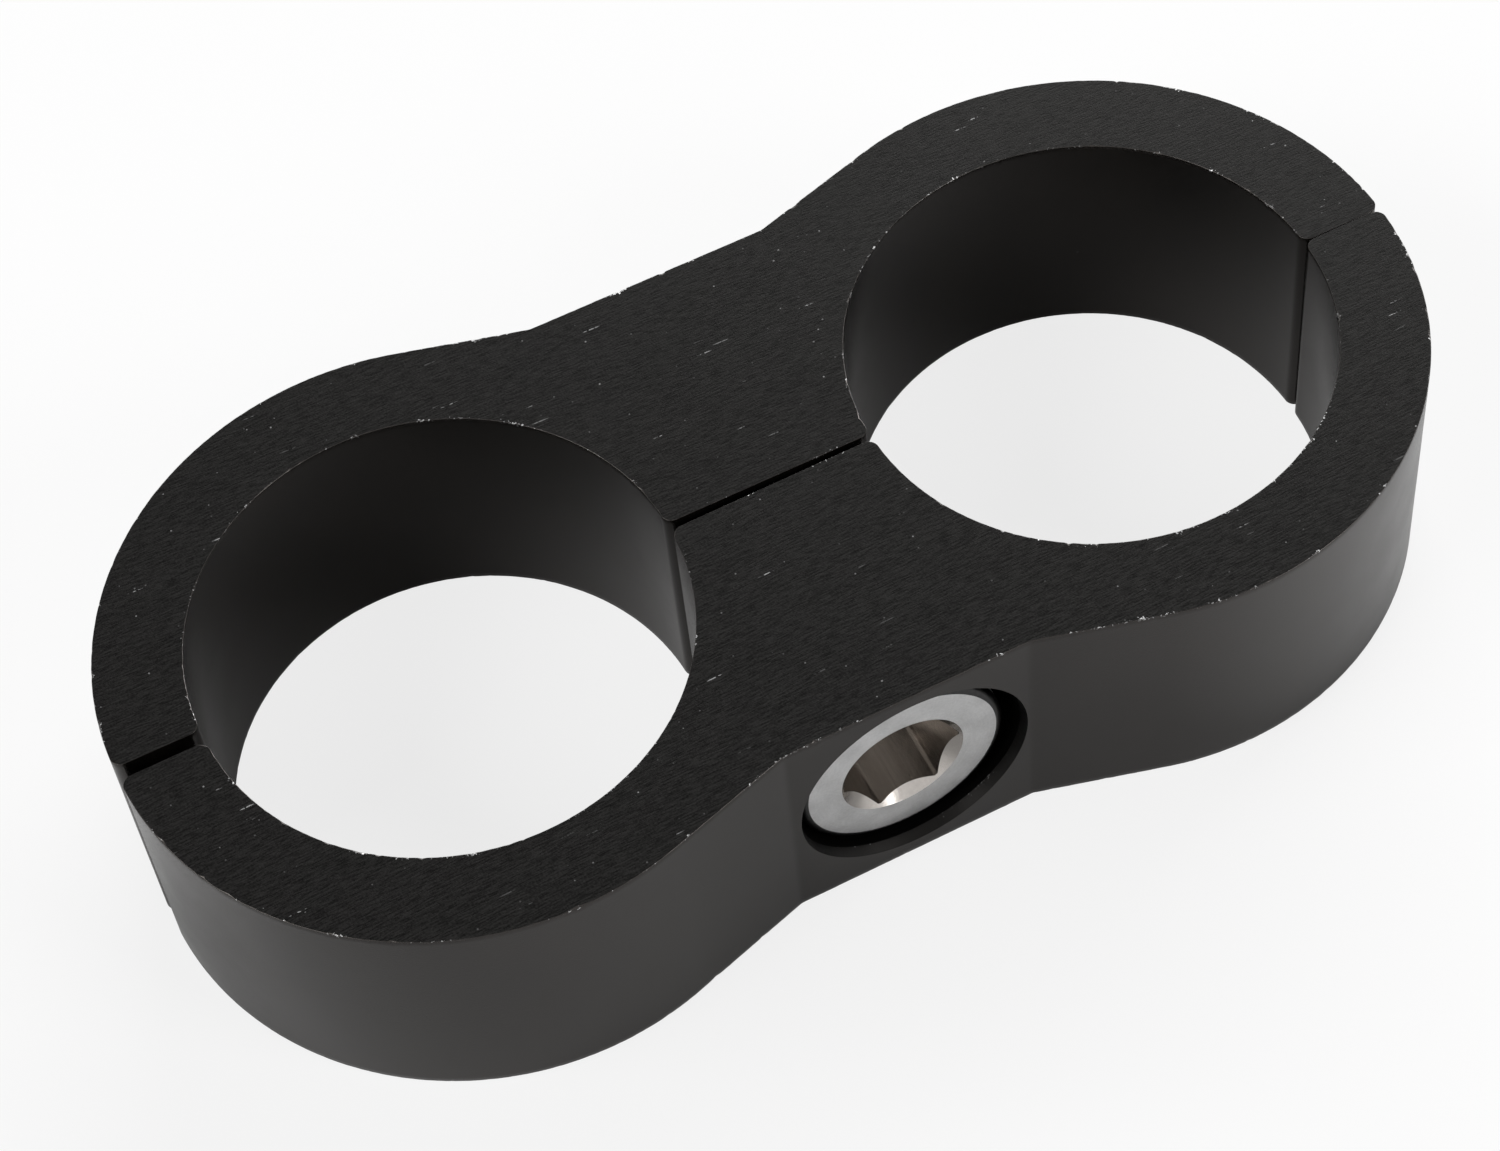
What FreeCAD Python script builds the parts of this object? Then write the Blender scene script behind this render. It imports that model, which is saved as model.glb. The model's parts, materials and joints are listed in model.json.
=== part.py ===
import FreeCAD, Part

import math
import os

# Split clamp for two parallel tubes.  Two slices of one extrusion meet across the
# bores, and one recessed cap screw between the bores draws them together.
#
# Frame: the origin is on the underside, midway between the bores.  +X runs from the
# left bore to the right bore, +Y from the half with the screw's head to the tapped
# half, and +Z up along the bores.  Sizes are in millimetres, angles in degrees.

# Extruded halves
bore_dia = 22.0            # outside diameter of the tubes that the clamp holds
ring_wall = 4.0            # metal round each bore
web_wall = 1.9             # least metal between the tapped hole and a bore
side_wall = 0.85           # metal above and below the counterbore
seat_wall = 1.04           # metal between the counterbore's foot and a bore
flat_margin = 0.2          # of the waist's flat beyond the counterbore's mouth
waist_round = 1.0          # where that flat turns into the flanks
split_round = 0.5          # long edges of the extrusion beside the split

# How the two halves lie before the screw is tightened
end_gap = 0.02             # where their right-hand ends nearly touch
skew = 0.6                 # angle between their split faces

# Cap screw, M6 with a hexagon socket
thread_dia = 6.0
screw_length = 16.0        # under the head
tip_chamfer = 0.6
neck_round = 0.25          # where the shank meets the head
head_dia = 10.0
head_height = 6.0
head_round = 0.4           # outer edge of the head's top
foot_chamfer = 0.2         # outer edge of the head's underside
socket_flats = 5.0         # across the flats of the socket
socket_depth = 3.0         # of the flats, from the head's top
socket_turn = 5.0          # where the socket's first corner points, up from +X

# Screw holes
hole_offset = 0.13         # the front hole lies this far right of its half's middle
shank_clearance = 0.3      # round the shank in the front half
head_clearance = 0.5       # round the head in its counterbore
head_recess = 0.76         # from the flat of the waist in to the head's top
rim_chamfer = 0.15         # mouth of the counterbore
seat_chamfer = 0.2         # mouth of the shank's hole, clear of the rounding under the head
thread_clearance = 0.1     # round the thread's crests in the back half
tap_chamfer = 0.5          # both mouths of the tapped hole
seat_clearance = 0.01      # between the head and the highest edge of its seat

# Radii of the bores, the rings round them and the screw's holes
bore_r = bore_dia / 2
ring_r = bore_r + ring_wall
thread_r = thread_dia / 2
tapped_r = thread_r + thread_clearance
head_r = head_dia / 2
counterbore_r = head_r + head_clearance

# Places that follow from them
bore_x = bore_r + web_wall + tapped_r
end_x = bore_x + ring_r
slice_length = 2 * (counterbore_r + side_wall)
screw_z = slice_length / 2
seat_depth = math.sqrt((bore_r + seat_wall) ** 2 - (bore_x - counterbore_r) ** 2)
waist_depth = seat_depth + head_height + head_recess
waist_x = counterbore_r + rim_chamfer + flat_margin
skew_slope = math.tan(math.radians(skew))
split_gap = end_gap + end_x * skew_slope

ORIGIN = FreeCAD.Vector(0, 0, 0)
ALONG_Y = FreeCAD.Vector(0, 1, 0)
ALONG_Z = FreeCAD.Vector(0, 0, 1)


def at(x, y, z=0.0):
    return FreeCAD.Vector(x, y, z)


def on_circle(centre_x, radius, angle):
    """Point of a circle whose centre lies on the X axis."""
    turn = math.radians(angle)
    return at(centre_x + radius * math.cos(turn), radius * math.sin(turn))


def arc(centre_x, radius, start, end):
    """Arc of such a circle, from the start angle to the end angle."""
    middle = (start + end) / 2
    points = [on_circle(centre_x, radius, angle) for angle in (start, middle, end)]
    return Part.Arc(*points).toShape()


def line(start, end):
    return Part.makeLine(start, end)


def flank_angle():
    """Angle on the right-hand ring where the straight flank from the waist touches it."""
    run = waist_x - bore_x
    reach = math.hypot(run, waist_depth)
    to_corner = math.degrees(math.atan2(waist_depth, run))
    return to_corner - math.degrees(math.acos(ring_r / reach))


def half_outline():
    """Closed outline of one half, on the +Y side of its split face."""
    touch = flank_angle()
    right_touch = on_circle(bore_x, ring_r, touch)
    left_touch = on_circle(-bore_x, ring_r, 180 - touch)
    right_corner = at(waist_x, waist_depth)
    left_corner = at(-waist_x, waist_depth)
    edges = [
        arc(bore_x, ring_r, 0, touch),
        line(right_touch, right_corner),
        line(right_corner, left_corner),
        line(left_corner, left_touch),
        arc(-bore_x, ring_r, 180 - touch, 180),
        line(at(-end_x, 0), at(-bore_x - bore_r, 0)),
        arc(-bore_x, bore_r, 180, 0),
        line(at(-bore_x + bore_r, 0), at(bore_x - bore_r, 0)),
        arc(bore_x, bore_r, 180, 0),
        line(at(bore_x + bore_r, 0), at(end_x, 0)),
    ]
    return Part.Wire(edges)


def long_edges(body, depth):
    """The extrusion's long edges at one depth from its split face."""
    found = []
    for edge in body.Edges:
        upright = edge.BoundBox.ZLength > slice_length / 2
        if upright and all(abs(vertex.Y - depth) < 1e-6 for vertex in edge.Vertexes):
            found.append(edge)
    return found


def make_half():
    """One undrilled slice of the extrusion, on the +Y side of its split face."""
    body = Part.Face(half_outline()).extrude(ALONG_Z * slice_length)
    body = body.makeFillet(waist_round, long_edges(body, waist_depth))
    return body.makeFillet(split_round, long_edges(body, 0))


def bore_along_y(x, radius, start_y, end_y):
    """Cutter for a round hole across the clamp at the screw's height."""
    return Part.makeCylinder(radius, end_y - start_y, at(x, start_y, screw_z), ALONG_Y)


def countersink(x, radius, mouth_y, depth, inward):
    """Cutter for a 45 degree mouth; inward is +1 or -1, the way the hole runs along Y.

    It starts one depth outside the mouth, so that it leaves nothing standing there.
    """
    start = at(x, mouth_y - depth * inward, screw_z)
    return Part.makeCone(radius + 2 * depth, radius, 2 * depth, start, ALONG_Y * inward)


def make_back_half():
    """Tapped half; its plain hole clears the crests of the thread."""
    body = make_half()
    body = body.cut(bore_along_y(0, tapped_r, 0, waist_depth))
    body = body.cut(countersink(0, tapped_r, 0, tap_chamfer, 1))
    body = body.cut(countersink(0, tapped_r, waist_depth, tap_chamfer, -1))
    body.translate(at(0, split_gap / 2))
    return body


def make_front_half():
    """Half with the counterbore, drilled square to its own waist and then skewed."""
    hole_r = thread_r + shank_clearance
    body = make_half()
    body.rotate(ORIGIN, ALONG_Z, 180)
    body = body.cut(bore_along_y(hole_offset, hole_r, -ring_r, 0))
    body = body.cut(bore_along_y(hole_offset, counterbore_r, -ring_r, -seat_depth))
    body = body.cut(countersink(hole_offset, counterbore_r, -waist_depth, rim_chamfer, 1))
    body = body.cut(countersink(hole_offset, hole_r, -seat_depth, seat_chamfer, 1))
    body.rotate(ORIGIN, ALONG_Z, skew)
    body.translate(at(0, -split_gap / 2))
    return body


def screw_profile():
    """Half section of the screw: head towards -Y, underside of the head at y = 0."""
    slant = math.sqrt(0.5)
    top = -head_height
    round_mid = at(head_r - head_round * (1 - slant), top + head_round * (1 - slant))
    neck_mid = at(thread_r + neck_round * (1 - slant), neck_round * (1 - slant))
    corners = [
        at(0, screw_length),
        at(0, top),
        at(head_r - head_round, top),
    ]
    shank = [
        at(thread_r, neck_round),
        at(thread_r, screw_length - tip_chamfer),
        at(thread_r - tip_chamfer, screw_length),
        at(0, screw_length),
    ]
    side = [
        at(head_r, top + head_round),
        at(head_r, -foot_chamfer),
        at(head_r - foot_chamfer, 0),
        at(thread_r + neck_round, 0),
    ]
    edges = list(Part.makePolygon(corners).Edges)
    edges.append(Part.Arc(corners[-1], round_mid, side[0]).toShape())
    edges += Part.makePolygon(side).Edges
    edges.append(Part.Arc(side[-1], neck_mid, shank[0]).toShape())
    edges += Part.makePolygon(shank).Edges
    return Part.Wire(edges)


def socket_cutter():
    """Hexagon with a drill point at its foot and a 45 degree countersink at its mouth."""
    top = at(0, -head_height)
    foot = at(0, socket_depth - head_height)
    corner_r = socket_flats / 2 / math.cos(math.radians(30))
    corners = []
    for step in range(7):
        turn = math.radians(60 * step)
        corners.append(at(corner_r * math.cos(turn), -head_height, corner_r * math.sin(turn)))
    hexagon = Part.Face(Part.makePolygon(corners)).extrude(ALONG_Y * socket_depth)
    drill_r = socket_flats / 2
    point = Part.makeCone(drill_r, 0, drill_r / math.tan(math.radians(60)), foot, ALONG_Y)
    mouth = Part.makeCone(corner_r, 0, corner_r, top, ALONG_Y)
    return hexagon.fuse([point, mouth])


def make_cap_screw():
    """Screw square to the tapped half, resting on the nearer edge of the skewed seat."""
    body = Part.Face(screw_profile()).revolve(ORIGIN, ALONG_Y, 360)
    body = body.cut(socket_cutter())
    body.rotate(ORIGIN, ALONG_Y, -socket_turn)
    seat_y = -split_gap / 2 - seat_depth / math.cos(math.radians(skew))
    body.translate(at(0, seat_y - head_r * skew_slope - seat_clearance, screw_z))
    return body


def main():
    os.makedirs("parts", exist_ok=True)
    make_front_half().exportStep("parts/front_half.step")
    make_back_half().exportStep("parts/back_half.step")
    make_cap_screw().exportStep("parts/cap_screw.step")


main()
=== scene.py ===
import json
import math

import bmesh
import bpy
import numpy as np
from mathutils import Matrix, Quaternion, Vector
from mathutils.geometry import tessellate_polygon


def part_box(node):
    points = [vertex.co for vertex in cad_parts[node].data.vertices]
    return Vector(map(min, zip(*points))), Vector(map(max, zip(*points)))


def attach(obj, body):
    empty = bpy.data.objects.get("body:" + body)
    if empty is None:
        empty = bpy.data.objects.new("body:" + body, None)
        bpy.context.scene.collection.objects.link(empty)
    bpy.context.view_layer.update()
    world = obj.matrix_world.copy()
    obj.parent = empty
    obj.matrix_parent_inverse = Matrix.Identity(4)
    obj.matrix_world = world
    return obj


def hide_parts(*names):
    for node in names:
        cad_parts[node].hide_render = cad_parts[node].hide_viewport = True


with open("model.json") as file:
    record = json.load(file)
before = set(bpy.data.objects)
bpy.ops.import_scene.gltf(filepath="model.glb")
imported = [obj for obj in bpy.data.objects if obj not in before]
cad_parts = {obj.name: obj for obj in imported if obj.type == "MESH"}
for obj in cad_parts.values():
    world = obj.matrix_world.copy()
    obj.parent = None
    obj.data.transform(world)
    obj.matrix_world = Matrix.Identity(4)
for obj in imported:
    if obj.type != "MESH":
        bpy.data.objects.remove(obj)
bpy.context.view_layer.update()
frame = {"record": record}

# Dressing of a split clamp for two parallel tubes.  Lengths below are in millimetres
# and angles in degrees; meshes are turned into metres when they are made.
#
# Each half is built lying on the +Y side of its own split face and is then turned to
# its place, as in the CAD.
MM = 0.001

# ---------------------------------------------------------------- sizes from the frame
mounts = {mount["name"]: mount for mount in frame["record"]["mounts"]}
back_low, back_high = (np.array(corner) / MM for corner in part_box("back_half"))
screw_low, screw_high = (np.array(corner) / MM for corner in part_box("cap_screw"))

BORE_X = mounts["right_bore"]["pos_m"][0] / MM
BORE_R = mounts["right_bore"]["dims"]["r_mm"]
HALF_GAP = mounts["right_bore"]["pos_m"][1] / MM
THICKNESS = back_high[2] - back_low[2]
END_X = back_high[0]
RING_R = END_X - BORE_X
SCREW_Z = THICKNESS / 2
HEAD_R = (screw_high[0] - screw_low[0]) / 2
HEAD_Y = screw_low[1]
TIP_Y = screw_high[1]

# ------------------------------------------------------- sizes repeated from the part
END_GAP = 0.02             # where the right-hand ends nearly touch
WAIST_X = 5.85
WAIST_DEPTH = 12.652
WAIST_ROUND = 1.0
SPLIT_ROUND = 0.5
SEAT_DEPTH = 5.892
HOLE_OFFSET = 0.13
COUNTERBORE_R = 5.5
SHANK_HOLE_R = 3.3
SEAT_CHAMFER = 0.2
TAPPED_R = 3.1
TAP_CHAMFER = 0.5
HEAD_HEIGHT = 6.0
HEAD_ROUND = 0.4
FOOT_CHAMFER = 0.2
SOCKET_FLATS = 5.0
SOCKET_DEPTH = 3.0
SOCKET_TURN = 5.0
THREAD_R = 3.0
TIP_CHAMFER = 0.6
NECK_ROUND = 0.25

# ------------------------------------------------------------------ detail added here
# The halves
OUTLINE_STEP = 0.1         # between points of a half's outline
EDGE_BREAK = 0.025         # bevel left on the sawn edges
EDGE_UNEVEN = 0.35         # share by which that bevel varies from point to point
EDGE_DEEPEST = 0.25        # greatest width of the bevel and its chips
SAW_TURN = 1.5             # of the saw lines on each half, away from the X axis
WORN_BAND = 0.3            # width of the band beside an edge that may be worn
NICKS = 1.28               # level above which the metal under the black shows
RIM_OUT = 0.065            # of the counterbore's mouth beyond its nominal radius
RIM_IN = 0.02              # of its wall within that radius
RIM_DEPTH = 0.52           # of the steep chamfer between the two
RIM_EDGE = 0.04            # band that keeps the edge inside that chamfer crisp
RIM_WEAR = 0.6             # how much that edge may be worn
WALL_RING = 3.0            # height of a loop of points on the wall, above the seat
SEAT_ROUND = 0.15          # between that wall and the seat
SPLIT_CHAMFER = 0.1        # mouth of the shank's hole in the split face

# The screw
ROUND_STEPS = 128          # points round a hole or the shank
HEAD_STEPS = 480           # points round the head
HEAD_ROUND_STEPS = 8       # bands round the edge of the head's top
KNURL_TEETH = 60
KNURL_DEPTH = 0.12
KNURL_TOP = (0.35, 0.6)    # under the head's rounding: where the knurl starts and is full
KNURL_FOOT = (0.5, 0.3)    # above the head's lower chamfer: where it is full and ends
COUNTERSINK = 0.08         # of the socket's mouth beyond its corners
CORNER_ROUND = 0.05        # how far the socket's rounded corners fall short of sharp ones
SOCKET_FOOT = (0.1, 0.03)  # height and width of the taper at the foot of its walls
DRILL_SHY = 0.06           # of the drill point's rim within the flats
DRILL_TIP = (0.3, 0.15)    # radius and height of the drill point's blunt tip
NECK_SHY = 0.15            # of the plain neck within the thread's crests
NECK_LENGTH = 0.6          # of the neck, under the head
NECK_MIDDLE = 0.07         # of the neck's rounding, from the head and from the neck
SHARP_ANGLE = 35           # between faces that don't shade into each other

# The thread
PITCH = 1.0                # M6
THREAD_DEPTH = 0.61
THREAD_SAMPLES = 16        # lines of points in one pitch
THREAD_TRIM = 0.02         # no point of the thread lies nearer than this to its ends
THREAD_FLAT = 0.125        # share of the half pitch that is flat on the crest
THREAD_FLANK = 0.625       # share of it that slopes
THREAD_RISE = 0.5          # slope of the thread's run-out on the neck
THREAD_PLAY = (0.04, 0.12)  # between screw and tapped hole at the screw's crests and roots

# ------------------------------------------------------------------------- the picture
CAMERA_LENS = 93.81
CAMERA_SENSOR = 36.0
CAMERA_AZIMUTH = 200.168
CAMERA_ELEVATION = 56.093
CAMERA_ROLL = -7.161
CAMERA_DISTANCE = 176.316
CAMERA_TARGET = (-1.501, -0.019)
FLOOR_HALF = 3000.0
FLOOR_GAP = 0.02           # below the clamp
FLOOR_SEEN = 0.8           # share of plain white in the floor as the camera sees it
FLOOR_REFLECTED = 0.02     # and as metal shows it
WORLD_LOW = 0.08           # light from near the horizon
WORLD_HIGH = 0.04          # light from above
WORLD_REFLECTED = 1.0      # share of plain white in the backdrop as metal shows it
LAMP_DISTANCE = 600.0

SKEW = math.degrees(math.atan((2 * HALF_GAP - END_GAP) / END_X))


# ------------------------------------------------------------------------------ meshes
class Builder:
    """Collects the points and faces of one piece, in millimetres."""

    def __init__(self):
        self.points = []
        self.worn = []
        self.faces = []
        self.slots = []
        self.smooth = []

    def add(self, points, worn=0.0):
        """Adds points and gives back their numbers."""
        first = len(self.points)
        self.points.extend(tuple(point) for point in points)
        self.worn.extend(np.broadcast_to(worn, len(points)).tolist())
        return list(range(first, len(self.points)))

    def face(self, corners, slot, smooth):
        self.faces.append(tuple(corners))
        self.slots.append(slot)
        self.smooth.append(smooth)

    def band(self, lower, upper, slot, smooth=True, keep=None):
        """Quads between two closed loops of points; keep may leave some of them out."""
        count = len(lower)
        for i in range(count):
            if keep is None or keep[i]:
                j = (i + 1) % count
                self.face((lower[i], lower[j], upper[j], upper[i]), slot, smooth)

    def fill(self, loops, axes, slot):
        """Flat faces inside the first loop and outside the others."""
        numbers = [i for loop in loops for i in loop]
        flat = []
        for loop in loops:
            flat.append([Vector([self.points[i][a] for a in axes] + [0.0]) for i in loop])
        for corners in tessellate_polygon(flat):
            self.face([numbers[c] for c in corners], slot, False)

    def fan(self, loop, tip, slot):
        """Flat faces between a closed loop and one point."""
        for i, start in enumerate(loop):
            self.face((start, loop[(i + 1) % len(loop)], tip), slot, False)

    def build(self, name, materials, place=None):
        """Makes the Blender object, in metres, with its faces turned outwards."""
        mesh = bpy.data.meshes.new(name)
        mesh.from_pydata(self.points, [], self.faces)
        mesh.polygons.foreach_set("material_index", self.slots)
        mesh.polygons.foreach_set("use_smooth", self.smooth)
        worn = mesh.attributes.new("worn", "FLOAT", "POINT")
        worn.data.foreach_set("value", np.array(self.worn, np.float32))
        for material in materials:
            mesh.materials.append(material)
        if place is not None:
            mesh.transform(place)
        mesh.transform(Matrix.Scale(MM, 4))
        turned = bmesh.new()
        turned.from_mesh(mesh)
        bmesh.ops.recalc_face_normals(turned, faces=turned.faces)
        turned.to_mesh(mesh)
        turned.free()
        piece = bpy.data.objects.new(name, mesh)
        bpy.context.scene.collection.objects.link(piece)
        return piece


def circle(radius, y, x=0.0, start=0.0, count=ROUND_STEPS):
    """Points round the screw's axis, which runs along Y at the screw's height."""
    turn = np.radians(start) + np.linspace(0, 2 * np.pi, count, endpoint=False)
    across, up = radius * np.cos(turn), radius * np.sin(turn)
    return np.column_stack([x + across, np.broadcast_to(y, count), SCREW_Z + up])


# ----------------------------------------------------------------- outline of one half
def flank():
    """Angle on the ring where the flank from the waist touches it, and the flank's slope."""
    run = WAIST_X - BORE_X
    reach = math.hypot(run, WAIST_DEPTH)
    touch = math.degrees(math.atan2(WAIST_DEPTH, run) - math.acos(RING_R / reach))
    return touch, touch - 90


def arc_points(centre, radius, start, end, outward):
    """Points and outward normals along an arc; outward is -1 on the inside of a bore."""
    count = max(3, math.ceil(abs(math.radians(end - start)) * radius / OUTLINE_STEP))
    turn = np.radians(np.linspace(start, end, count, endpoint=False))
    ray = np.column_stack([np.cos(turn), np.sin(turn)])
    return np.array(centre) + radius * ray, outward * ray


def line_points(start, end):
    """Points and outward normals along a line, with the metal on its left."""
    start, end = np.array(start), np.array(end)
    length = np.linalg.norm(end - start)
    share = np.linspace(0, 1, max(2, math.ceil(length / OUTLINE_STEP)), endpoint=False)
    along = (end - start) / length
    normal = np.array([along[1], -along[0]])
    return start + share[:, None] * (end - start), np.tile(normal, (len(share), 1))


def right_side():
    """Runs of the outline from the middle of the split face to the middle of the waist."""
    touch, slope = flank()
    outer = RING_R - SPLIT_ROUND
    inner = BORE_R + SPLIT_ROUND
    outer_dip = math.degrees(math.asin(SPLIT_ROUND / outer))
    inner_dip = math.degrees(math.asin(SPLIT_ROUND / inner))
    outer_x = BORE_X + outer * math.cos(math.radians(outer_dip))
    inner_run = inner * math.cos(math.radians(inner_dip))
    bore = (BORE_X, 0)
    waist_end = WAIST_X - WAIST_ROUND * math.tan(math.radians(slope / 2))
    waist_centre = (waist_end, WAIST_DEPTH + WAIST_ROUND)
    flank_foot = (
        waist_centre[0] + WAIST_ROUND * math.sin(math.radians(slope)),
        waist_centre[1] - WAIST_ROUND * math.cos(math.radians(slope)),
    )
    flank_top = (
        BORE_X + RING_R * math.cos(math.radians(touch)),
        RING_R * math.sin(math.radians(touch)),
    )
    left_centre = (BORE_X - inner_run, SPLIT_ROUND)
    right_centre = (BORE_X + inner_run, SPLIT_ROUND)
    end_centre = (outer_x, SPLIT_ROUND)
    return [
        ("split", line_points((0, 0), (left_centre[0], 0))),
        ("wall", arc_points(left_centre, SPLIT_ROUND, -90, -inner_dip, 1)),
        ("bore", arc_points(bore, BORE_R, 180 - inner_dip, inner_dip, -1)),
        ("wall", arc_points(right_centre, SPLIT_ROUND, 180 + inner_dip, 270, 1)),
        ("end", line_points((right_centre[0], 0), (outer_x, 0))),
        ("wall", arc_points(end_centre, SPLIT_ROUND, -90, outer_dip, 1)),
        ("ring", arc_points(bore, RING_R, outer_dip, touch, 1)),
        ("flank", line_points(flank_top, flank_foot)),
        ("flank", arc_points(waist_centre, WAIST_ROUND, slope - 90, -90, -1)),
        ("waist", line_points((waist_end, WAIST_DEPTH), (0, WAIST_DEPTH))),
    ]


def outline():
    """Closed outline of one half: points, outward normals and the name of each run."""
    runs = right_side()
    points = np.concatenate([run[1][0] for run in runs])
    normals = np.concatenate([run[1][1] for run in runs])
    names = [name for name, run in runs for _ in run[0]]
    middle = np.array([[0, WAIST_DEPTH]])
    mirror = np.array([-1, 1])
    points = np.concatenate([points, middle, points[:0:-1] * mirror])
    normals = np.concatenate([normals, [[0, 1]], normals[:0:-1] * mirror])
    # A segment takes its name from its start, which is its end on the mirrored side.
    names = names + names[::-1]
    return points, normals, names


# ------------------------------------------------------------------------- worn edges
# Share of the usual bevel, and of the wear, that the edges of each run have.
EDGE_SHARE = {
    "split": 0.4, "end": 0.1, "wall": 0.7, "bore": 1.0, "ring": 1.0, "flank": 1.0, "waist": 1.0,
}
EDGE_WEAR = {
    "split": 0.8, "end": 0.3, "wall": 0.8, "bore": 0.9, "ring": 0.9, "flank": 1.0, "waist": 1.0,
}


def edge_break(points, names, chips, depth, seed):
    """Width of the broken edge at each point of an outline: a fine unevenness and chips.

    chips is how many there are to a millimetre.  It also gives how much the edge may be
    worn there, most of all beside the chips.
    """
    draw = np.random.default_rng(seed)
    share = np.array([EDGE_SHARE[name] for name in names])
    steps = np.linalg.norm(np.roll(points, -1, axis=0) - points, axis=1)
    along = np.concatenate([[0], np.cumsum(steps)[:-1]])
    total = steps.sum()
    width = EDGE_BREAK * share * (1 + EDGE_UNEVEN * draw.standard_normal(len(points)))
    width = (np.roll(width, 1) + 2 * width + np.roll(width, -1)) / 4
    worn = np.zeros(len(points))
    for place in draw.uniform(0, total, int(total * chips)):
        reach = draw.uniform(0.1, 0.4)
        deep = depth * draw.uniform(0.2, 1.0) ** 2
        away = np.abs((along - place + total / 2) % total - total / 2) / reach
        ragged = draw.uniform(0.4, 1.0, len(points))
        width = width + deep * share * np.clip(1 - away, 0, 1) * ragged
        worn = np.maximum(worn, np.clip(1.5 - away, 0, 1) * draw.uniform(0.3, 1.0))
    wear = np.array([EDGE_WEAR[name] for name in names])
    return np.clip(width, 0.2 * EDGE_BREAK, EDGE_DEEPEST), wear * (0.75 + 0.25 * worn)


def rows_of_half(builder, points, normals, names, seed):
    """Loops of points up the wall, from inside the bottom face to inside the top face."""
    low, low_worn = edge_break(points, names, chips=0.25, depth=0.1, seed=seed)
    high, high_worn = edge_break(points, names, chips=0.5, depth=0.15, seed=seed + 1)
    levels = [
        (low + WORN_BAND, 0 * low, 0.0),
        (low, 0 * low, low_worn),
        (0.3 * low, 0.3 * low, low_worn),
        (0 * low, low, low_worn),
        (0 * low, low + WORN_BAND, 0.0),
        (0 * high, THICKNESS - high - WORN_BAND, 0.0),
        (0 * high, THICKNESS - high, high_worn),
        (0.3 * high, THICKNESS - 0.3 * high, high_worn),
        (high, THICKNESS + 0 * high, high_worn),
        (high + WORN_BAND, THICKNESS + 0 * high, 0.0),
    ]
    loops = []
    for inset, height, worn in levels:
        flat = points - inset[:, None] * normals
        loops.append(builder.add(np.column_stack([flat, height]), worn))
    return loops


WALL_FOOT, WALL_TOP = 4, 5  # numbers of the loops between which the wall stands
# the drilled slot holds a darker, nearly unreflecting copy of the black: painted shade for the
# holes
SATIN, SAWN, DRILLED_PAINTED_SHADE, CHAMFERED = range(4)


def half_shell(holes, seed):
    """One half without the inside of its hole; holes gives the loop of points at each mouth."""
    builder = Builder()
    points, normals, names = outline()
    loops = rows_of_half(builder, points, normals, names, seed)
    mouths = {name: builder.add(mouth) for name, mouth in holes.items()}
    count = len(points)
    for number, (lower, upper) in enumerate(zip(loops, loops[1:])):
        flat = number in (0, len(loops) - 2)
        keep = [not (number == WALL_FOOT and name in mouths) for name in names]
        builder.band(lower, upper, SAWN if flat else SATIN, not flat, keep)
    for name, mouth in mouths.items():
        run = [i for i in range(count) if names[i] == name]
        breaks = [k for k in range(1, len(run)) if run[k] != run[k - 1] + 1]
        if breaks:
            run = run[breaks[0]:] + run[:breaks[0]]
        ends = run + [(run[-1] + 1) % count]
        border = [loops[WALL_FOOT][i] for i in ends]
        border += [loops[WALL_TOP][i] for i in reversed(ends)]
        builder.fill([border, mouth], (0, 2), SATIN)
    builder.fill([loops[0]], (0, 1), SAWN)
    builder.fill([loops[-1]], (0, 1), SAWN)
    return builder, mouths


# ------------------------------------------------------------------------- the thread
def thread_radius(phase, crest_r, root_r):
    """Radius of a 60 degree thread; phase runs from 0 to 1 over one pitch."""
    away = abs(phase % 1 - 0.5) * 2  # 0 on the crest, 1 at the root
    slope = min(max((away - THREAD_FLAT) / THREAD_FLANK, 0.0), 1.0)
    return crest_r + (root_r - crest_r) * slope


def thread_band(builder, loops, span, limits, radii, slot, sink=0.0):
    """Faces of a right-hand thread between two loops of points, in lines along its helix.

    The loops lie at the ends of span, along Y.  The radius keeps between the two limits,
    each a function of that place.  The new points are moved back along Y by sink.
    """
    start, end = span
    made = {}

    def point(column, line):
        if column == ROUND_STEPS:
            column, line = 0, line - THREAD_SAMPLES
        y = PITCH * (line / THREAD_SAMPLES - column / ROUND_STEPS)
        if y < start + THREAD_TRIM:
            return loops[0][column]
        if y > end - THREAD_TRIM:
            return loops[1][column]
        if (column, line) not in made:
            turn = 2 * math.pi * column / ROUND_STEPS
            radius = thread_radius(line / THREAD_SAMPLES, *radii)
            radius = min(max(radius, limits[0](y)), limits[1](y))
            place = (radius * math.cos(turn), y - sink, SCREW_Z + radius * math.sin(turn))
            made[column, line] = builder.add([place])[0]
        return made[column, line]

    first = math.floor(start / PITCH * THREAD_SAMPLES)
    last = math.ceil((end / PITCH + 1) * THREAD_SAMPLES)
    for column in range(ROUND_STEPS):
        for line in range(first, last):
            corners = [point(column, line), point(column + 1, line)]
            corners += [point(column + 1, line + 1), point(column, line + 1)]
            corners = list(dict.fromkeys(corners))
            if len(corners) > 2:
                builder.face(corners, slot, True)


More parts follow.
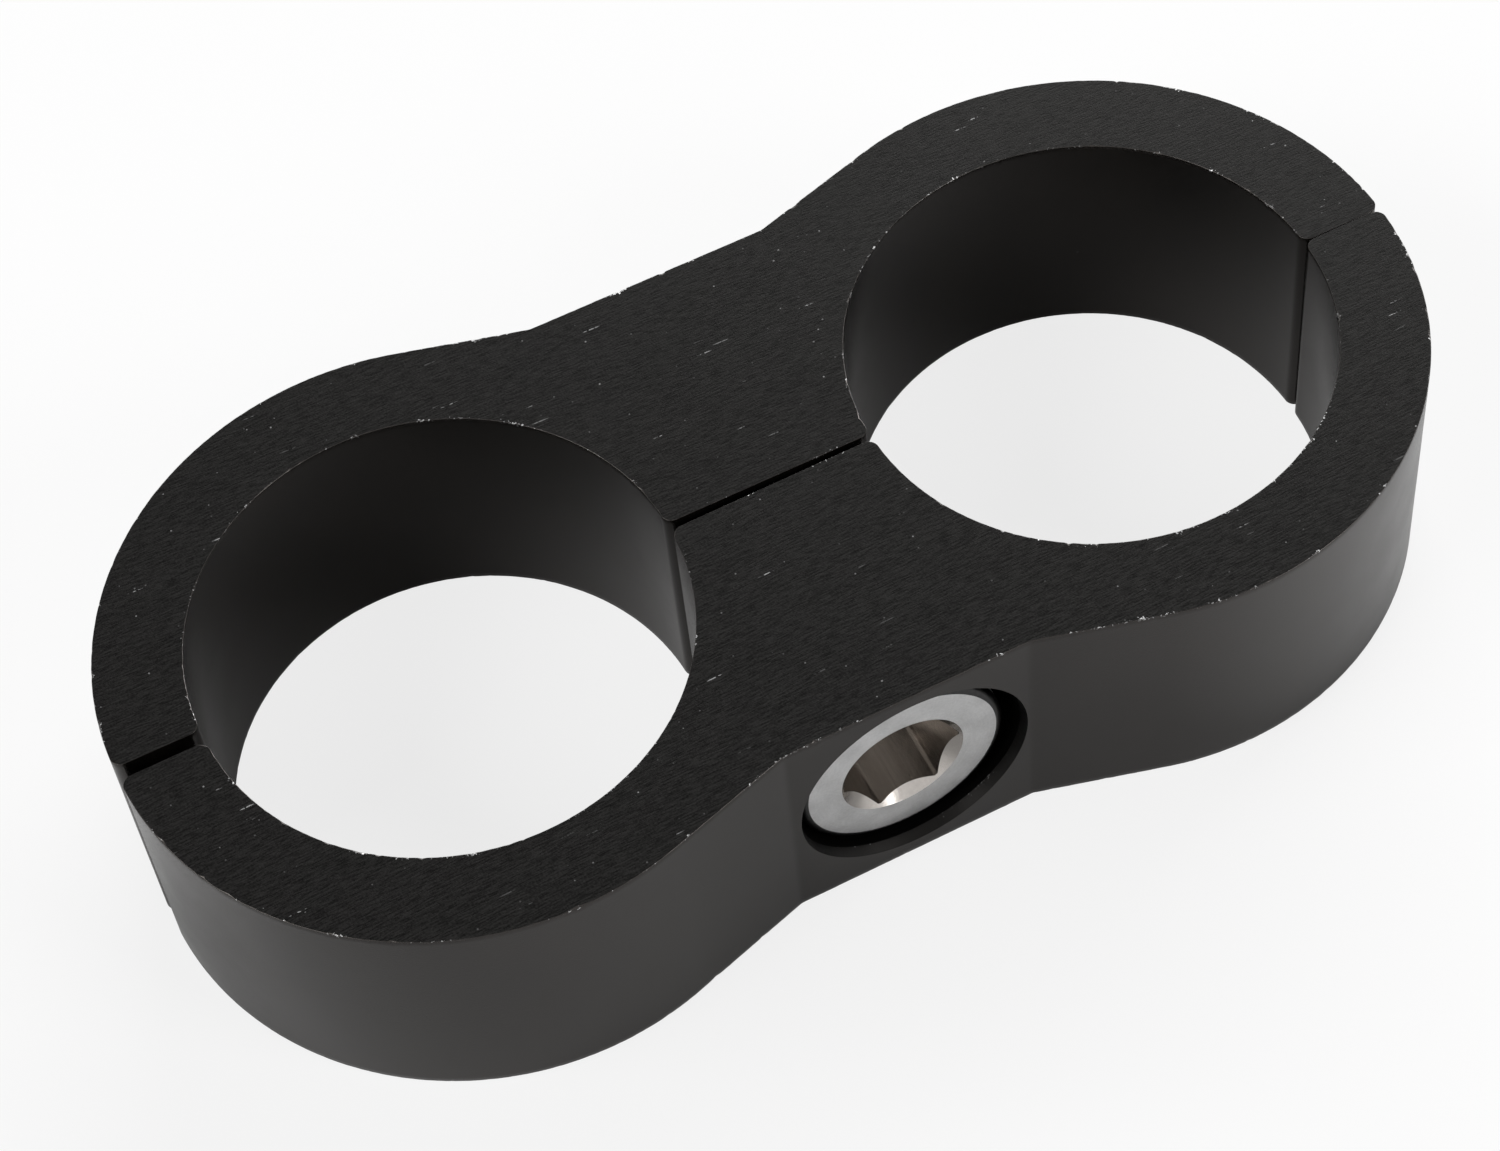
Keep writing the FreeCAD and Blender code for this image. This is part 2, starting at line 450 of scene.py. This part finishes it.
# -------------------------------------------------------------------------- the halves
def make_back_half(materials):
    """Tapped half.  Its thread is cut in step with the screw's."""
    mouth_r = TAPPED_R + TAP_CHAMFER
    holes = {"split": circle(mouth_r, 0.0), "waist": circle(mouth_r, WAIST_DEPTH)}
    builder, mouths = half_shell(holes, 11)

    def least(y):
        return max(0.0, mouth_r - (y - HALF_GAP), mouth_r - (WAIST_DEPTH + HALF_GAP - y))

    loops = (mouths["split"], mouths["waist"])
    span = (HALF_GAP, WAIST_DEPTH + HALF_GAP)
    radii = (THREAD_R + THREAD_PLAY[0], THREAD_R - THREAD_DEPTH + THREAD_PLAY[1])
    thread_band(builder, loops, span, (least, lambda y: mouth_r), radii, DRILLED_PAINTED_SHADE, HALF_GAP)
    return builder.build("back_half_body", materials, Matrix.Translation((0, HALF_GAP, 0)))


def make_front_half(materials):
    """Half with the counterbore, turned about and skewed to its place."""
    x = -HOLE_OFFSET
    wall_r = COUNTERBORE_R - RIM_IN
    profile = [
        (COUNTERBORE_R + RIM_OUT, WAIST_DEPTH),
        (wall_r, WAIST_DEPTH - RIM_DEPTH),
        (wall_r, WAIST_DEPTH - RIM_DEPTH - RIM_EDGE),
        (wall_r, SEAT_DEPTH + WALL_RING),
        (wall_r, SEAT_DEPTH + SEAT_ROUND),
        (wall_r - SEAT_ROUND, SEAT_DEPTH),
        (SHANK_HOLE_R + SEAT_CHAMFER, SEAT_DEPTH),
        (SHANK_HOLE_R, SEAT_DEPTH - SEAT_CHAMFER),
        (SHANK_HOLE_R, SPLIT_CHAMFER),
        (SHANK_HOLE_R + SPLIT_CHAMFER, 0.0),
    ]
    holes = {"waist": circle(*profile[0], x), "split": circle(*profile[-1], x)}
    builder, mouths = half_shell(holes, 23)
    rows = [mouths["waist"]]
    rows.append(builder.add(circle(*profile[1], x), RIM_WEAR))
    rows += [builder.add(circle(radius, y, x)) for radius, y in profile[2:-1]]
    rows += [mouths["split"]]
    builder.band(rows[0], rows[1], CHAMFERED, False)
    for lower, upper in zip(rows[1:], rows[2:]):
        builder.band(lower, upper, DRILLED_PAINTED_SHADE)
    turn = Matrix.Rotation(math.radians(180 + SKEW), 4, "Z")
    place = Matrix.Translation((0, -HALF_GAP, 0)) @ turn
    return builder.build("front_half_body", materials, place)


# --------------------------------------------------------------------------- the screw
def head_loops(builder, rows):
    """Adds a loop of points round the head for each radius and place along Y."""
    return [builder.add(circle(r, y, 0, SOCKET_TURN, HEAD_STEPS)) for r, y in rows]


def socket_rows(builder):
    """Loops of points from the rim of the socket's countersink down to its drill point."""
    turn = np.linspace(0, 2 * np.pi, HEAD_STEPS, endpoint=False)
    corner_r = SOCKET_FLATS / 2 / math.cos(math.radians(30))
    from_flat = (turn % np.radians(60)) - np.radians(30)
    wall = np.minimum(SOCKET_FLATS / 2 / np.cos(from_flat), corner_r - CORNER_ROUND)
    drill_r = SOCKET_FLATS / 2 - DRILL_SHY
    tip_r = DRILL_TIP[0]
    foot = HEAD_Y + SOCKET_DEPTH
    return head_loops(builder, [
        (corner_r + COUNTERSINK, HEAD_Y),
        (wall, HEAD_Y + COUNTERSINK + corner_r - wall),
        (wall, foot - SOCKET_FOOT[0]),
        (wall - SOCKET_FOOT[1], foot),
        (drill_r, foot),
        (tip_r, foot + (drill_r - tip_r) / math.tan(math.radians(60))),
    ])


def head_rows(builder):
    """Loops of points from the head's top face round to the neck."""
    turn = np.linspace(0, 2 * np.pi, HEAD_STEPS, endpoint=False)
    tooth = 0.5 - 0.5 * np.cos(turn * KNURL_TEETH)
    knurled = HEAD_R - KNURL_DEPTH * tooth
    rows = []
    for angle in np.radians(np.linspace(0, 90, HEAD_ROUND_STEPS + 1)):
        radius = HEAD_R - HEAD_ROUND * (1 - math.sin(angle))
        rows.append((radius, HEAD_Y + HEAD_ROUND * (1 - math.cos(angle))))
    side = HEAD_Y + HEAD_ROUND
    under = HEAD_Y + HEAD_HEIGHT
    foot = under - FOOT_CHAMFER
    rows += [
        (HEAD_R, side + KNURL_TOP[0]),
        (knurled, side + KNURL_TOP[1]),
        (knurled, foot - KNURL_FOOT[0]),
        (HEAD_R, foot - KNURL_FOOT[1]),
        (HEAD_R, foot),
        (HEAD_R - FOOT_CHAMFER, under),
    ]
    return head_loops(builder, rows)


TURNED, BROACHED, ROLLED, ROUNDED_PAINTED_DARK = range(4)


def add_head(builder):
    """Head with its socket; gives back the loop of points where its underside begins."""
    socket = socket_rows(builder)
    head = head_rows(builder)
    builder.band(socket[0], head[0], TURNED, False)
    for lower, upper in zip(socket, socket[1:]):
        builder.band(lower, upper, BROACHED)
    tip = (0, builder.points[socket[-1][0]][1] + DRILL_TIP[1], SCREW_Z)
    builder.fan(socket[-1], builder.add([tip])[0], BROACHED)
    for number, (lower, upper) in enumerate(zip(head, head[1:])):
        # the head's rounding takes the nearly black steel, a painted dark reflection of the
        # counterbore
        builder.band(lower, upper, ROUNDED_PAINTED_DARK if number < HEAD_ROUND_STEPS else TURNED)
    return head[-1]


def make_cap_screw(materials):
    """Screw with its head towards -Y; the thread runs out on a plain neck under the head."""
    builder = Builder()
    head = add_head(builder)
    under = HEAD_Y + HEAD_HEIGHT
    neck_r = THREAD_R - NECK_SHY
    neck_end = under + NECK_LENGTH
    neck = [
        builder.add(circle(neck_r + NECK_ROUND, under)),
        builder.add(circle(neck_r + NECK_MIDDLE, under + NECK_MIDDLE)),
        builder.add(circle(neck_r, under + NECK_ROUND)),
        builder.add(circle(neck_r, neck_end)),
    ]
    for lower, upper in zip(neck, neck[1:]):
        builder.band(lower, upper, ROLLED)
    root_r = THREAD_R - THREAD_DEPTH
    tip_end = builder.add(circle(root_r, TIP_Y))

    def least(y):
        return max(root_r, neck_r - (y - neck_end) * THREAD_RISE)

    def most(y):
        run_in = neck_r + (y - neck_end) * THREAD_RISE
        return min(THREAD_R, run_in, THREAD_R - TIP_CHAMFER + (TIP_Y - y))

    loops = (neck[-1], tip_end)
    thread_band(builder, loops, (neck_end, TIP_Y), (least, most), (THREAD_R, root_r), ROLLED)
    builder.fill([head, neck[0]], (0, 2), TURNED)
    builder.fill([tip_end], (0, 2), TURNED)
    piece = builder.build("cap_screw_body", materials)
    piece.data.set_sharp_from_angle(angle=math.radians(SHARP_ANGLE))
    return piece


# --------------------------------------------------------------------------- materials
def new_material(name):
    material = bpy.data.materials.new(name)
    material.use_nodes = True
    return material, material.node_tree, material.node_tree.nodes["Principled BSDF"]


def node(tree, kind, inputs=None, **settings):
    """Adds a node, with sockets or plain values for its inputs."""
    made = tree.nodes.new(kind)
    for key, value in settings.items():
        setattr(made, key, value)
    for key, value in (inputs or {}).items():
        if isinstance(value, bpy.types.NodeSocket):
            tree.links.new(value, made.inputs[key])
        else:
            made.inputs[key].default_value = value
    return made


def calc(tree, operation, first, second=0.0):
    return node(tree, "ShaderNodeMath", {0: first, 1: second}, operation=operation).outputs[0]


def fade(tree, value, start, end, low=0.0, high=1.0):
    """Value carried smoothly from start..end to low..high."""
    inputs = {"Value": value, "From Min": start, "From Max": end, "To Min": low, "To Max": high}
    made = node(tree, "ShaderNodeMapRange", inputs, interpolation_type="SMOOTHSTEP")
    return made.outputs["Result"]


def weighted(tree, first, *others):
    """Sum of patterns, each given with its weight."""
    total = calc(tree, "MULTIPLY", *first)
    for term in others:
        total = calc(tree, "ADD", total, calc(tree, "MULTIPLY", *term))
    return total


def blend(tree, share, first, second):
    """Mix of two colours."""
    made = node(tree, "ShaderNodeMix", data_type="RGBA")
    sockets = [made.inputs[number] for number in (0, 6, 7)]
    for socket, value in zip(sockets, (share, first, second)):
        if isinstance(value, bpy.types.NodeSocket):
            tree.links.new(value, socket)
        else:
            socket.default_value = value
    return made.outputs[2]


def grey(value, warmth=0.0):
    """A grey with a little more red and less blue, by the share that warmth gives."""
    return (value * (1 + warmth), value, value * (1 - warmth), 1)


ALUMINIUM = grey(0.62)


def coords(tree, turn=0.0, stretch=(1, 1, 1)):
    """Object coordinates in millimetres, turned about Z and then stretched."""
    place = node(tree, "ShaderNodeTexCoord").outputs["Object"]
    inputs = {"Vector": place, "Rotation": (0, 0, math.radians(-turn))}
    turned = node(tree, "ShaderNodeMapping", inputs).outputs[0]
    inputs = {"Vector": turned, "Scale": tuple(1 / (MM * length) for length in stretch)}
    return node(tree, "ShaderNodeMapping", inputs).outputs[0]


def noise(tree, vector, scale=1.0, detail=2.0, roughness=0.5):
    inputs = {"Vector": vector, "Scale": scale, "Detail": detail, "Roughness": roughness}
    return node(tree, "ShaderNodeTexNoise", inputs).outputs["Fac"]


def sparse_spots(tree, vector, size, share):
    """Spots round the points of a random lattice, of which only a share is kept."""
    cells = node(tree, "ShaderNodeTexVoronoi", {"Vector": vector, "Scale": 1.0})
    near = fade(tree, cells.outputs["Distance"], size, size * 0.6)
    split = node(tree, "ShaderNodeSeparateColor", {"Color": cells.outputs["Color"]})
    kept = calc(tree, "LESS_THAN", split.outputs["Red"], share)
    bright = fade(tree, calc(tree, "POWER", split.outputs["Green"], 2.0), 0.0, 1.0, 0.2, 1.0)
    return calc(tree, "MULTIPLY", calc(tree, "MULTIPLY", near, kept), bright)


def worn_edges(tree):
    """Where the black is knocked off the sawn edges, in fine nicks that gather in places."""
    worn = node(tree, "ShaderNodeAttribute", attribute_name="worn").outputs["Fac"]
    fine = noise(tree, coords(tree), 7.0, 2.0, 0.6)
    broad = noise(tree, coords(tree), 0.45, 2.0)
    level = weighted(tree, (fine, 1.0), (broad, 0.6), (worn, 0.5))
    nicks = fade(tree, level, NICKS, NICKS + 0.08)
    strength = fade(tree, noise(tree, coords(tree), 3.0), 0.35, 0.65, 0.2, 0.8)
    return calc(tree, "MULTIPLY", nicks, strength)


def finish_anodised(tree, shader, black, bare, roughness, height):
    """Black anodised skin with bare aluminium showing where it is worn through."""
    tree.links.new(blend(tree, bare, black, ALUMINIUM), shader.inputs["Base Color"])
    tree.links.new(bare, shader.inputs["Metallic"])
    rough = calc(tree, "ADD", roughness, calc(tree, "MULTIPLY", bare, 0.1))
    tree.links.new(rough, shader.inputs["Roughness"])
    inputs = {"Height": height, "Strength": 1.0, "Distance": 1.0 * MM}
    tree.links.new(node(tree, "ShaderNodeBump", inputs).outputs[0], shader.inputs["Normal"])


def satin_anodised():
    """Extruded walls: an even satin with a fine grain, pinholes and a few specks."""
    material, tree, shader = new_material("satin_anodised")
    shader.inputs["IOR"].default_value = 1.5
    shader.inputs["Specular Tint"].default_value = (1.0, 0.92, 0.87, 1)
    place = coords(tree)
    grain = noise(tree, place, 9.0, 2.0, 0.6)
    cloud = noise(tree, place, 0.25, 3.0, 0.5)
    tone = weighted(tree, (grain, 0.35), (cloud, 0.65))
    black = blend(tree, fade(tree, tone, 0.35, 0.65), grey(0.001, 0.2), grey(0.004, 0.2))
    specks = sparse_spots(tree, coords(tree, stretch=(1.6, 1.6, 1.6)), 0.04, 0.05)
    pits = sparse_spots(tree, coords(tree, stretch=(1.3, 1.3, 1.3)), 0.05, 0.10)
    bare = calc(tree, "MAXIMUM", worn_edges(tree), calc(tree, "MULTIPLY", specks, 0.5))
    rough = fade(tree, tone, 0.3, 0.7, 0.2, 0.27)
    height = weighted(tree, (grain, 0.004), (pits, -0.02))
    finish_anodised(tree, shader, black, bare, rough, height)
    return material


def sawn_anodised(name, turn):
    """Sawn faces: near-parallel saw lines, grain, bright dashes along them and specks."""
    material, tree, shader = new_material(name)
    shader.inputs["IOR"].default_value = 1.5
    shader.inputs["Specular IOR Level"].default_value = 0.07
    shader.inputs["Specular Tint"].default_value = (1.0, 0.98, 0.94, 1)
    lines = noise(tree, coords(tree, turn, (0.6, 0.07, 0.6)), 1.0, 1.0, 0.5)
    broad = noise(tree, coords(tree, turn, (7.0, 0.6, 7.0)), 1.0, 2.0, 0.5)
    grain = noise(tree, coords(tree), 10.0, 1.0, 0.5)
    tone = weighted(tree, (lines, 0.5), (grain, 0.4), (broad, 0.1))
    black = blend(tree, fade(tree, tone, 0.3, 0.7), grey(0.0005), grey(0.0155, 0.03))
    dots = fade(tree, noise(tree, coords(tree), 5.0, 1.0), 0.42, 0.55)
    dashes = sparse_spots(tree, coords(tree, turn, (4.0, 0.3, 4.0)), 0.12, 0.4)
    dashes = calc(tree, "MULTIPLY", calc(tree, "MULTIPLY", dashes, dots), 0.4)
    specks = sparse_spots(tree, coords(tree, stretch=(0.5, 0.5, 0.5)), 0.1, 0.35)
    marks = calc(tree, "MAXIMUM", dashes, calc(tree, "MULTIPLY", specks, 0.3))
    bare = calc(tree, "MAXIMUM", worn_edges(tree), marks)
    rough = fade(tree, lines, 0.3, 0.7, 0.32, 0.42)
    height = weighted(tree, (lines, 0.006), (grain, 0.006))
    finish_anodised(tree, shader, black, bare, rough, height)
    return material


def drilled_anodised_painted_shade():
    """Counterbore and screw holes: black over turned tool marks, darker and far less shiny than
    the walls outside, as painted shade that keeps the holes black.
    """
    material, tree, shader = new_material("drilled_anodised_painted_shade")
    shader.inputs["IOR"].default_value = 1.5
    # painted shade: a darker black and a very low specular level keep the holes black where the
    # lamps would light them
    shader.inputs["Specular IOR Level"].default_value = 0.06
    lines = noise(tree, coords(tree, 0.0, (4.0, 0.12, 4.0)), 1.0, 2.0, 0.5)
    black = blend(tree, lines, grey(0.0005, 0.08), grey(0.002, 0.08))
    tree.links.new(black, shader.inputs["Base Color"])
    tree.links.new(fade(tree, lines, 0.3, 0.7, 0.36, 0.46), shader.inputs["Roughness"])
    inputs = {"Height": lines, "Strength": 1.0, "Distance": 0.01 * MM}
    tree.links.new(node(tree, "ShaderNodeBump", inputs).outputs[0], shader.inputs["Normal"])
    return material


def chamfered_anodised():
    """Mouth of the counterbore: duller than the waist, with a few nicks along its edge."""
    material, tree, shader = new_material("chamfered_anodised")
    shader.inputs["IOR"].default_value = 1.5
    shader.inputs["Specular IOR Level"].default_value = 0.26
    shader.inputs["Specular Tint"].default_value = (1.0, 0.96, 0.92, 1)
    grain = noise(tree, coords(tree), 10.0, 1.0, 0.5)
    black = blend(tree, grain, grey(0.0005, 0.05), grey(0.003, 0.05))
    rough = fade(tree, grain, 0.3, 0.7, 0.32, 0.42)
    height = calc(tree, "MULTIPLY", grain, 0.004)
    finish_anodised(tree, shader, black, worn_edges(tree), rough, height)
    return material


def steel(name, colours, roughness, height, distance):
    """Stainless steel whose colour, roughness and height follow a pattern in the tree."""
    material, tree, shader = new_material(name)
    shader.inputs["Metallic"].default_value = 1.0
    pattern = height(tree)
    tree.links.new(blend(tree, pattern, *colours), shader.inputs["Base Color"])
    tree.links.new(fade(tree, pattern, 0.2, 0.8, *roughness), shader.inputs["Roughness"])
    inputs = {"Height": pattern, "Strength": 1.0, "Distance": distance * MM}
    tree.links.new(node(tree, "ShaderNodeBump", inputs).outputs[0], shader.inputs["Normal"])
    return material


def turned_pattern(tree):
    """Rings round the screw's axis, broken up by a fine grain."""
    place = node(tree, "ShaderNodeTexCoord").outputs["Object"]
    inputs = {"Vector": place, "Location": (0, 0, -SCREW_Z * MM)}
    centred = node(tree, "ShaderNodeMapping", inputs).outputs[0]
    split = node(tree, "ShaderNodeSeparateXYZ", {"Vector": centred})
    across = calc(tree, "POWER", split.outputs["X"], 2.0)
    across = calc(tree, "ADD", across, calc(tree, "POWER", split.outputs["Z"], 2.0))
    radius = calc(tree, "DIVIDE", calc(tree, "SQRT", across), 0.09 * MM)
    ring = node(tree, "ShaderNodeCombineXYZ", {"X": radius})
    rings = noise(tree, ring.outputs[0], 1.0, 2.0, 0.6)
    grain = noise(tree, coords(tree), 7.0, 3.0, 0.6)
    cloud = noise(tree, coords(tree), 0.9, 2.0, 0.5)
    return weighted(tree, (rings, 0.25), (grain, 0.35), (cloud, 0.4))


def broached_pattern(tree):
    """Streaks along the socket's walls."""
    return noise(tree, coords(tree, 0.0, (0.18, 6.0, 0.18)), 1.0, 2.0, 0.5)


def rolled_pattern(tree):
    """Even grain of the rolled thread and of the head's rounded edge."""
    return noise(tree, coords(tree), 5.0, 3.0, 0.6)


# ------------------------------------------------------------------------------- stage
def share_of_rays(tree, seen, reflected):
    """Share of plain white that rays from the camera see, and rays from metal and glass."""
    path = node(tree, "ShaderNodeLightPath").outputs
    other = calc(tree, "MAXIMUM", path["Is Glossy Ray"], path["Is Transmission Ray"])
    seen = calc(tree, "MULTIPLY", path["Is Camera Ray"], seen)
    return calc(tree, "MAXIMUM", seen, calc(tree, "MULTIPLY", other, reflected))


def make_floor():
    """Pale floor; part of its white is plain, so that the shadow on it stays light."""
    half = FLOOR_HALF * MM
    corners = [(-half, -half, 0), (half, -half, 0), (half, half, 0), (-half, half, 0)]
    mesh = bpy.data.meshes.new("floor")
    mesh.from_pydata(corners, [], [(0, 1, 2, 3)])
    floor = bpy.data.objects.new("floor", mesh)
    floor.location.z = (back_low[2] - FLOOR_GAP) * MM
    bpy.context.scene.collection.objects.link(floor)
    material = bpy.data.materials.new("floor")
    material.use_nodes = True
    tree = material.node_tree
    tree.nodes.clear()
    paper = node(tree, "ShaderNodeBsdfDiffuse", {"Color": grey(0.9)})
    plain = node(tree, "ShaderNodeEmission", {"Color": grey(1.0), "Strength": 1.0})
    share = share_of_rays(tree, FLOOR_SEEN, FLOOR_REFLECTED)
    mix = node(tree, "ShaderNodeMixShader", {0: share, 1: paper.outputs[0], 2: plain.outputs[0]})
    node(tree, "ShaderNodeOutputMaterial", {"Surface": mix.outputs[0]})
    mesh.materials.append(material)


def make_world():
    """Soft light, stronger from low down all round than from above, and a white backdrop."""
    world = bpy.data.worlds.new("studio")
    bpy.context.scene.world = world
    world.use_nodes = True
    tree = world.node_tree
    tree.nodes.clear()
    way = node(tree, "ShaderNodeTexCoord").outputs["Generated"]
    height = node(tree, "ShaderNodeSeparateXYZ", {"Vector": way}).outputs["Z"]
    strength = fade(tree, height, 0.15, 0.65, WORLD_LOW, WORLD_HIGH)
    light = node(tree, "ShaderNodeBackground", {"Color": grey(1.0), "Strength": strength})
    plain = node(tree, "ShaderNodeBackground", {"Color": grey(1.0), "Strength": 1.0})
    share = share_of_rays(tree, 1.0, WORLD_REFLECTED)
    mix = node(tree, "ShaderNodeMixShader", {0: share, 1: light.outputs[0], 2: plain.outputs[0]})
    node(tree, "ShaderNodeOutputWorld", {"Surface": mix.outputs[0]})


def direction(azimuth, elevation):
    """Unit vector; azimuth 0 points along +Y and 90 along +X."""
    a, e = math.radians(azimuth), math.radians(elevation)
    return Vector((math.sin(a) * math.cos(e), math.cos(a) * math.cos(e), math.sin(e)))


def make_lamp(name, azimuth, elevation, half_width, half_height, radiance):
    """Soft box seen from the object under these half angles; a radiance of 1 looks white."""
    width = 2 * LAMP_DISTANCE * math.tan(math.radians(half_width)) * MM
    height = 2 * LAMP_DISTANCE * math.tan(math.radians(half_height)) * MM
    data = bpy.data.lights.new(name, "AREA")
    data.shape = "RECTANGLE"
    data.size = width
    data.size_y = height
    data.energy = radiance * math.pi * width * height
    lamp = bpy.data.objects.new(name, data)
    away = direction(azimuth, elevation)
    lamp.location = away * LAMP_DISTANCE * MM
    lamp.rotation_mode = "QUATERNION"
    lamp.rotation_quaternion = away.to_track_quat("Z", "Y")
    bpy.context.scene.collection.objects.link(lamp)


def make_camera():
    """Camera at the photograph's angle: from the front half's side, down at the clamp."""
    data = bpy.data.cameras.new("camera")
    data.lens = CAMERA_LENS
    data.sensor_width = CAMERA_SENSOR
    data.clip_start = 10 * MM
    data.clip_end = 20.0
    camera = bpy.data.objects.new("camera", data)
    look = -direction(CAMERA_AZIMUTH, CAMERA_ELEVATION)
    target = Vector((*CAMERA_TARGET, SCREW_Z)) * MM
    camera.location = target - look * CAMERA_DISTANCE * MM
    camera.rotation_mode = "QUATERNION"
    level = look.to_track_quat("-Z", "Y")
    camera.rotation_quaternion = level @ Quaternion((0, 0, 1), math.radians(CAMERA_ROLL))
    bpy.context.scene.collection.objects.link(camera)
    bpy.context.scene.camera = camera


# ------------------------------------------------------------------------ the whole scene
def screw_steels():
    """Steels of the screw, in the order of its slots; the head's rounded edge is painted dark, a
    painted reflection of the black counterbore round the head.
    """
    face = (grey(0.36, 0.005), grey(0.96))
    socket = (grey(0.38, 0.07), grey(0.46, 0.06))
    shank = (grey(0.52, 0.01), grey(0.62, 0.01))
    # painted reflection: the rounded edge's steel is nearly black, standing in for the dark
    # counterbore it reflects
    edge = (grey(0.03, 0.01), grey(0.07, 0.01))
    return [
        steel("turned_steel", face, (0.38, 0.5), turned_pattern, 0.008),
        steel("broached_steel", socket, (0.18, 0.26), broached_pattern, 0.001),
        steel("rolled_steel", shank, (0.22, 0.34), rolled_pattern, 0.001),
        steel("rounded_steel_painted_dark", edge, (0.3, 0.4), rolled_pattern, 0.001),
    ]


def make_clamp():
    """The three pieces, each on its own body and in place of its CAD node."""
    satin = satin_anodised()
    drilled = drilled_anodised_painted_shade()
    sawn_back = sawn_anodised("sawn_anodised_back", -SAW_TURN)
    sawn_front = sawn_anodised("sawn_anodised_front", SAW_TURN)
    back = make_back_half([satin, sawn_back, drilled])
    front = make_front_half([satin, sawn_front, drilled, chamfered_anodised()])
    screw = make_cap_screw(screw_steels())
    for piece, body, cad, slot in (
        (back, "back", "back_half", "black_anodised_aluminium"),
        (front, "front", "front_half", "black_anodised_aluminium"),
        (screw, "screw", "cap_screw", "stainless_steel"),
    ):
        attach(piece, body)
        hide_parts(cad)


def main():
    make_clamp()
    make_floor()
    make_world()
    make_lamp("key", azimuth=43, elevation=32, half_width=26, half_height=12.6, radiance=7.9)
    make_lamp("left", azimuth=268, elevation=44, half_width=20, half_height=9.7, radiance=6.2)
    make_lamp("fill", azimuth=140, elevation=32, half_width=10.3, half_height=10.2, radiance=7.8)
    make_camera()
    bpy.context.scene.view_settings.view_transform = "Standard"


main()
